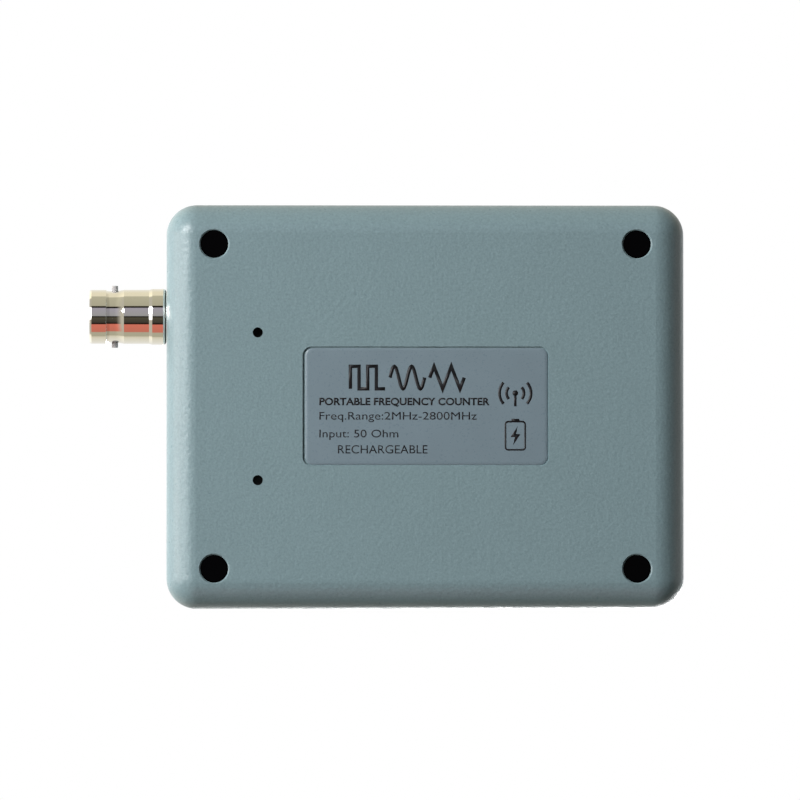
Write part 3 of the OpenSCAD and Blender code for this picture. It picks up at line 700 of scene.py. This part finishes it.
def front_lines():
    """A line round the window, one round the overlay's edge, and one under the display."""
    bm = bmesh.new()
    ribbon(bm, moved(rounded_loop(59.4, 24.9, 2.0), WINDOW.x, WINDOW.y), 0.4, closed=True)
    ribbon(bm, [(3 - OVERLAY.x / 2, RULE_Y), (OVERLAY.x / 2 - 3, RULE_Y)], 0.7)
    ribbon(bm, rounded_loop(OVERLAY.x - 2.4, OVERLAY.y - 2.4, 1.9), 0.3, closed=True)
    on_overlay("front_lines", bm, "blue_ink")


front_print()
front_lines()


# ---------------------------------------------------------------- display

SEGMENTS = {
    "0": "abcdef", "1": "bc", "2": "abged", "3": "abgcd", "4": "fgbc", "5": "afgcd",
    "6": "afgedc", "7": "abc", "8": "abcdefg", "9": "abcdfg", " ": "",
}
READING = " 145.5000"
DIGIT_W, DIGIT_H, DIGIT_PITCH = 4.5, 10.4, 5.9
STROKE, SLANT, GAP = 0.95, 0.12, 0.12              # a segment's width, its lean and the space at its ends
DOT, DOT_BACK, DOT_LEAN = 0.9, 1.05, 0.1           # its size, its place before the next digit, its lean
BARS, LIT_BARS = 20, 13
BAR_W, BAR_H, BAR_PITCH = 1.05, 1.4, 1.55
CELLS, CELL_W, CELL_H, CELL_PITCH = 3, 0.95, 1.3, 1.25


def digit_segments(x, y):
    """The seven segments of a digit as outlines, by letter."""
    e = STROKE / 2
    tip, shoulder = GAP + e, GAP + STROKE

    def lean(points):
        return [(x + u + v * SLANT, y + v) for u, v in points]

    def bar(v):
        return lean([(tip, v), (shoulder, v + e), (DIGIT_W - shoulder, v + e), (DIGIT_W - tip, v),
                     (DIGIT_W - shoulder, v - e), (shoulder, v - e)])

    def post(u, v0, v1):
        return lean([(u, v0 + tip), (u - e, v0 + shoulder), (u - e, v1 - shoulder), (u, v1 - tip),
                     (u + e, v1 - shoulder), (u + e, v0 + shoulder)])

    left, right, low, middle, high = e, DIGIT_W - e, e, DIGIT_H / 2, DIGIT_H - e
    return {"a": bar(high), "g": bar(middle), "d": bar(low), "f": post(left, middle, high),
            "b": post(right, middle, high), "e": post(left, low, middle), "c": post(right, low, middle)}


def display_digits(lit, unlit, x, y):
    """The reading in seven segments, with a dot behind each digit."""
    for i, mark in enumerate(READING.replace(".", "")):
        for letter, outline in digit_segments(x + i * DIGIT_PITCH, y).items():
            polygon(lit if letter in SEGMENTS[mark] else unlit, outline)
        a = x + (i + 1) * DIGIT_PITCH - DOT_BACK
        dot = [(a, y), (a + DOT, y), (a + DOT + DOT_LEAN, y + DOT), (a + DOT_LEAN, y + DOT)]
        polygon(lit if i == READING.index(".") - 1 else unlit, dot)


def display_bars(lit, unlit, x, y):
    """The strength of the signal."""
    for i in range(BARS):
        a = x + i * BAR_PITCH
        rectangle(lit if i < LIT_BARS else unlit, a, y, a + BAR_W, y + BAR_H)


def display_battery(lit, x, y):
    """A full battery on its side, round x, y."""
    ribbon(lit, moved(rounded_loop(4.6, 2.2, 0.3, 3), x, y), 0.25, closed=True)
    rectangle(lit, x + 2.45, y - 0.5, x + 2.95, y + 0.5)
    for i in range(CELLS):
        a = x - 1.85 + i * CELL_PITCH
        rectangle(lit, a, y - CELL_H / 2, a + CELL_W, y + CELL_H / 2)


def display_shapes():
    """Draws the reading: lit shapes into one mesh, unlit ones into another."""
    lit, unlit = bmesh.new(), bmesh.new()
    low, top, right = WINDOW.y - 6.4, WINDOW.y + 7.7, WINDOW.x + 26.6
    display_digits(lit, unlit, WINDOW.x - 26.2, low)
    lettering(lit, "MHz", right, low, 2.3, align="RIGHT")
    lettering(unlit, "kHz", right, low + 4.0, 2.3, align="RIGHT")
    lettering(unlit, "HOLD", right, low + 8.2, 1.5, align="RIGHT")
    display_bars(lit, unlit, WINDOW.x - 19.5, top)
    lettering(lit, "SIG", WINDOW.x - 26.0, top, 1.4, bold=0.01)
    display_battery(lit, WINDOW.x + 23.6, top + 0.7)
    place = Matrix.Translation((0, 0, box_of("display_polariser")[1].z - INK_SINK))
    for name, bm, material in (("lcd_reading", lit, "lcd_on"), ("lcd_unlit_segments", unlit, "lcd_off")):
        printed(name, bm, material, "case", place)


display_shapes()


# ---------------------------------------------------------------- keys

FLANGE, FLANGE_T = 1.2, 0.7   # the rim that holds a key under the front
KEY_CORNER, KEY_EDGE = 2.5, 0.9
DISH = 0.16                   # how deep a key's top is dished
DISH_SIDE = ((0.35, 0.15), (0.7, 0.6), (1.1, 0.92), (1.5, 1))     # (run, share of the dish) steps


def key(node, icon):
    """A key's cap, which is drawn as (inset, z) rings, and the mark on its dished top."""
    lo, hi = box_of(node)
    at = (lo + hi) / 2
    w, d, low, top = hi.x - lo.x - 2 * FLANGE, hi.y - lo.y - 2 * FLANGE, lo.z, hi.z
    profile = [(-FLANGE, low), (-FLANGE, low + FLANGE_T), (0, low + FLANGE_T)]
    profile += [(KEY_EDGE * (1 - math.cos(a)), top - KEY_EDGE * (1 - math.sin(a)))
                for a in (math.pi / 2 * i / 8 for i in range(9))]
    profile += [(KEY_EDGE + run, top - DISH * share) for run, share in DISH_SIDE]
    rings = []
    for inset, z in profile:
        corner = KEY_CORNER if inset < 0 else max(KEY_CORNER - inset, 0.35)
        loop = rounded_loop(w - 2 * inset, d - 2 * inset, corner, 8)
        rings.append([(x, y, z) for x, y in moved(loop, at.x, at.y)])
    bm = bmesh.new()
    loft(bm, rings)
    red = node == "power_key"
    plastic, slot = ("key_red", "key_red") if red else ("key", "key_grey")
    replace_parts(piece(node + "_cap", bm, plastic, node), node)
    bm = bmesh.new()
    icon(bm)
    place = Matrix.Translation((at.x, at.y, top - DISH - INK_SINK))
    ink, slot = ("white_ink", "connector_white") if red else ("ink", "black_plastic")
    printed(node + "_mark", bm, ink, node, place)


for node, (_, icon) in KEYS.items():
    key(node, icon)


# ---------------------------------------------------------------- input socket

AXIS = Vector((0, SOCKET_AT.y, SOCKET_AT.z))
ROOT_R, COLLAR_R, BARREL_R, WAIST_R = 4.6, 5.0, 4.85, 4.6      # radii, from the wall outwards
BORE_R, BORE_DEPTH = 4.05, 9
INSULATOR_R = 2.45
FILLET = 0.06                 # of a corner that has none of its own
BLOCK_END = WALL_X - 3.5      # where the block behind the wall gives way to the turned body
BLOCK_RISE = 4.5              # its top, over the axis
BLOCK_CHAMFER = 0.4
COLLAR_END = WALL_X + 2.6
BARREL_END = MOUTH - 6.15
RING_X = MOUTH - 3
WAIST_X = RING_X - 0.9        # the waist's narrowest place
WAIST_RISE = 0.08             # how far it widens again before the ring
STUD_ROOT = 4.1               # a stud starts inside the body, this far from the axis
STUD_EDGE = 0.07              # the fillet round its tip


def arc_rise(run, span, rise):
    """How far an arc has risen after run, when it starts level and rises by rise over span."""
    r = (span ** 2 + rise ** 2) / 2 / rise
    return r - math.sqrt(r ** 2 - run ** 2)


def waist():
    """Points of the waist: a long arc down from the barrel, and a short one up to the ring."""
    long, short = WAIST_X - BARREL_END, RING_X - WAIST_X
    down = [long * (1 - i / 24) for i in range(1, 24)]
    up = [short * i / 10 for i in range(11)]
    return ([(WAIST_X - run, WAIST_R + arc_rise(run, long, BARREL_R - WAIST_R), 0) for run in down]
            + [(WAIST_X + run, WAIST_R + arc_rise(run, short, WAIST_RISE), 0) for run in up])


def turned_body(bm):
    """The nickel body, from inside the wall out to the mouth and back in along the bore."""
    bore_x = MOUTH - BORE_DEPTH
    outline = [
        (BLOCK_END, INSULATOR_R, 0), (BLOCK_END, ROOT_R, 0), (WALL_X + 0.15, ROOT_R, 0.03),
        (WALL_X + 0.24, COLLAR_R - 0.15, 0.1), (WALL_X + 0.42, COLLAR_R - 0.04, 0.15),
        (WALL_X + 0.65, COLLAR_R, 0.3),
        (COLLAR_END, COLLAR_R, 0.1), (COLLAR_END + 0.57, BARREL_R, 0.1), (BARREL_END, BARREL_R, 0),
        *waist(),
        (RING_X + 0.03, SOCKET_R, 0.03), (MOUTH - 0.34, SOCKET_R, 0.04), (MOUTH, SOCKET_R - 0.15, 0.03),
        (MOUTH, BORE_R + 0.36), (MOUTH - 0.35, BORE_R), (bore_x, BORE_R, 0.3), (bore_x, INSULATOR_R, 0),
    ]
    turned(bm, filleted(outline, FILLET, 8), AXIS)


def block(bm):
    """The chamfered block behind the wall."""
    (x0, y0, z0), (_, y1, _) = box_of("socket_shell")
    x1, z1 = BLOCK_END, AXIS.z + BLOCK_RISE
    c = BLOCK_CHAMFER
    rings = []
    for x, inset in ((x0, c), (x0 + c, 0), (x1 - c, 0), (x1, c)):
        rings.append([(x, y0 + inset, z0 + inset), (x, y1 - inset, z0 + inset),
                      (x, y1 - inset, z1 - inset), (x, y0 + inset, z1 - inset)])
    loft(bm, rings)


def socket_body():
    bm = bmesh.new()
    turned_body(bm)
    block(bm)
    bmesh.ops.recalc_face_normals(bm, faces=bm.faces)
    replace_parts(piece("socket_body", bm, "nickel", "case", sharp=11), "socket_shell")


def studs():
    """The two studs, which stand out of the body up and down in Y."""
    lo, hi = box_of("bayonet_studs")
    r, reach = (hi.x - lo.x) / 2, (hi.y - lo.y) / 2
    at = Vector(((lo.x + hi.x) / 2, AXIS.y, AXIS.z))
    bm = bmesh.new()
    for side in (-1, 1):
        root, tip = side * STUD_ROOT, side * reach
        outline = filleted([(root, 0, 0), (root, r, 0), (tip, r), (tip, 0, 0)], STUD_EDGE)
        turned(bm, outline, at, "Y", 40)
    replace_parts(piece("socket_studs", bm, "stud", "case"), "bayonet_studs")


socket_body()
studs()


# ---------------------------------------------------------------- camera
# From here on, places and sizes are in metres.

VIEW_W = 141.85 * MM          # what the picture spans at the back face
CAM_DIST = 1.5
SENSOR_W = 36
LEAN_X, LEAN_Y = math.radians(1.1), math.radians(-1.4)     # the camera isn't quite square on
AIM = Vector((4.32, 1.45, 13.5)) * MM


def camera():
    """A long lens that looks up at the back through the floor, with +X on the picture's left."""
    data = bpy.data.cameras.new("camera")
    data.sensor_width = SENSOR_W
    data.lens = SENSOR_W * CAM_DIST / VIEW_W
    data.clip_start, data.clip_end = 0.01, 20
    o = bpy.data.objects.new("camera", data)
    bpy.context.scene.collection.objects.link(o)
    back = Vector((math.tan(LEAN_X), math.tan(LEAN_Y), -1)).normalized()
    right = Vector((0, 1, 0)).cross(back).normalized()
    turn = Matrix((right, back.cross(right), back)).transposed().to_4x4()
    o.matrix_world = Matrix.Translation(AIM + back * (CAM_DIST + AIM.z)) @ turn
    bpy.context.scene.camera = o


camera()


# ---------------------------------------------------------------- floor

FLOOR_R = 6
FLOOR_DROP = 0.05 * MM        # keeps it clear of the back face
GLOW_START, GLOW_END, GLOW = 0.12, 0.55, 0.9       # it glows more and more between these distances


def floor():
    """A wide pale floor that is solid from above and clear from below."""
    bm = bmesh.new()
    bmesh.ops.create_circle(bm, cap_ends=True, radius=FLOOR_R, segments=96)
    mesh = bpy.data.meshes.new("floor")
    bm.to_mesh(mesh)
    bm.free()
    o = bpy.data.objects.new("floor", mesh)
    bpy.context.scene.collection.objects.link(o)
    o.location.z = -FLOOR_DROP
    o.visible_diffuse = o.visible_glossy = o.visible_transmission = o.visible_shadow = False
    m = Mat("floor_paint")
    away = m.new("VectorMath")
    away.operation = "LENGTH"
    m.feed(away, 0, (m.coord, "Object"))
    glow = m.map_range((away, "Value"), GLOW_START, GLOW_END, 0.0, GLOW)
    m.set(Base_Color=(0.86, 0.86, 0.85, 1), Roughness=0.8, Specular_IOR_Level=0.1,
          Emission_Color=(1, 1, 1, 1), Emission_Strength=glow)
    from_below = (m.new("NewGeometry"), "Backfacing")
    m.feed(m.out, "Surface", m.choose(from_below, m.bsdf, m.new("BsdfTransparent")))
    mesh.materials.append(m.mat)


floor()


# ---------------------------------------------------------------- lamps

LAMP_AWAY = 0.9               # from the origin to each lamp below the floor


def lamp(name, location, target, size, power, colour=(1, 1, 1), shape="SQUARE", glossy=True):
    light = bpy.data.lights.new(name, "AREA")
    light.shape = shape
    light.size = size
    light.energy = power
    light.color = colour
    o = bpy.data.objects.new(name, light)
    bpy.context.scene.collection.objects.link(o)
    o.location = location
    o.rotation_euler = (Vector(target) - Vector(location)).to_track_quat("-Z", "Y").to_euler()
    o.visible_camera = False
    o.visible_glossy = glossy


def below(name, around, away, size, power, colour=(1, 1, 1), **more):
    """A lamp below the floor, around the Z axis from +X and away from straight down, in degrees."""
    around, away = math.radians(around), math.radians(away)
    way = Vector((math.sin(away) * math.cos(around), math.sin(away) * math.sin(around), -math.cos(away)))
    lamp(name, way * LAMP_AWAY, (0, 0, 0.005), size, power, colour, **more)


# The photograph shows the back, so its lamps are below
below("key_below", 31, 46, 0.42, 5.7, shape="DISK")
below("key_low_below", 18, 54, 0.5, 2.8, (1, 0.96, 0.93))
below("side_below", 0, 76, 0.45, 2.3, (1, 0.91, 0.87))
below("side_low_below", 0, 90, 0.42, 1.1, (1, 0.90, 0.86))
below("far_side_below", 180, 90, 0.42, 0.3)
below("far_edge_below", 90, 88, 0.42, 0.5, (1, 0.95, 0.9), glossy=False)

# These two light the front
lamp("top", (-0.35, -0.45, 0.9), (0, 0, 0.01), 0.6, 12.0)
lamp("top_side", (0.8, 0.3, 0.5), (0, 0, 0.01), 0.4, 4.0, glossy=False)


# ---------------------------------------------------------------- world

def in_nickel(r, g, b):
    """The surroundings that polished nickel shows as this 8-bit colour."""
    return tuple(c / n for c, n in zip(srgb(r, g, b), NICKEL))


def by_angle(*stops):
    """Ramp stops from (degrees from straight down, turning to +Y, colour) stops."""
    return [(0.5 + degrees / 360, colour) for degrees, colour in stops]


CREAM, OLIVE, GREY = in_nickel(226, 216, 186), in_nickel(170, 164, 140), in_nickel(152, 150, 148)
DARK, SALMON, LINE = in_nickel(60, 54, 46), in_nickel(190, 110, 90), in_nickel(26, 22, 16)
OFF_WHITE = (0.95, 0.95, 0.93)
PLAIN = (0.36, 0.34, 0.28)
STRIPES = by_angle(
    (-180, OFF_WHITE), (-110, in_nickel(216, 210, 190)), (-96, in_nickel(205, 197, 172)),
    (-93, OLIVE), (-72, OLIVE), (-69, SALMON), (-35, in_nickel(205, 112, 92)), (-33, LINE),
    (-29, LINE), (-27, DARK), (-5, in_nickel(78, 74, 60)), (-3, LINE), (0, LINE),
    (2, GREY), (36, in_nickel(158, 152, 160)), (38, LINE), (44, LINE), (46, OLIVE),
    (94, in_nickel(180, 174, 148)), (99, CREAM), (120, CREAM), (180, OFF_WHITE),
)
SCREEN = by_angle((-17, 0.0), (-12, 1.0), (43, 1.0), (48, 0.0))
PANELS = ((0.44, 0.0), (0.46, 1.0), (0.55, 1.0), (0.6, 0.15),
          (0.7, 0.15), (0.72, 1.0), (0.8, 1.0), (0.86, 0.0))      # along X
SCREEN_POWER = 3.0


def world():
    """White to the camera, dim to matt surfaces, and striped to shiny ones."""
    studio = bpy.data.worlds.new("studio")
    bpy.context.scene.world = studio
    w = Nodes(studio)
    split = w.new("SeparateXYZ")
    w.feed(split, 0, (w.new("TexCoord"), "Generated"))
    x, y, z = (split, "X"), (split, "Y"), (split, "Z")

    # The stripes lie along X. Both their ends give way to a plain grey below the horizon
    angle = w.calc("ARCTAN2", y, w.calc("MULTIPLY", z, -1))
    turn = w.map_range(angle, -math.pi, math.pi, 0, 1)
    ends = w.calc("MAXIMUM", w.map_range(x, -0.4, -0.6, 0, 1), w.map_range(x, 0.2, 0.36, 0, 1))
    ends = w.calc("MINIMUM", ends, w.map_range(z, 0, 0.15, 1, 0))
    colour = w.mix("MIX", ends, w.ramp(turn, STRIPES), opaque(PLAIN))

    # They are darker on the side away from the lamps, apart from the white behind
    side, behind = w.map_range(x, -0.32, -0.06, 0.3, 1), w.map_range(z, 0.1, 0.6, 0, 1)
    strength = w.calc("MAXIMUM", w.calc("MAXIMUM", side, behind), w.map_range(x, 0.02, 0.36, 0.8, 1.5))
    stripes = w.background(colour, strength)

    # A white screen of two panels stands in front of them on the lamps' side
    screen = w.calc("MULTIPLY", w.ramp(turn, SCREEN), w.ramp(x, PANELS))
    shine = w.choose(screen, stripes, w.background((1, 1, 1, 1), SCREEN_POWER))

    # Matt surfaces get a little soft light, mostly from above
    soft = w.background((0.95, 0.98, 1.0, 1), w.map_range(z, -0.05, 0.1, 0.02, 0.2))

    path = w.new("LightPath")
    lit = w.choose((path, "Is Glossy Ray"), soft, shine)
    seen = w.background((1, 1, 1, 1), 1.0)
    w.feed(w.new("OutputWorld"), "Surface", w.choose((path, "Is Camera Ray"), lit, seen))


world()

bpy.context.scene.view_settings.view_transform = "Standard"
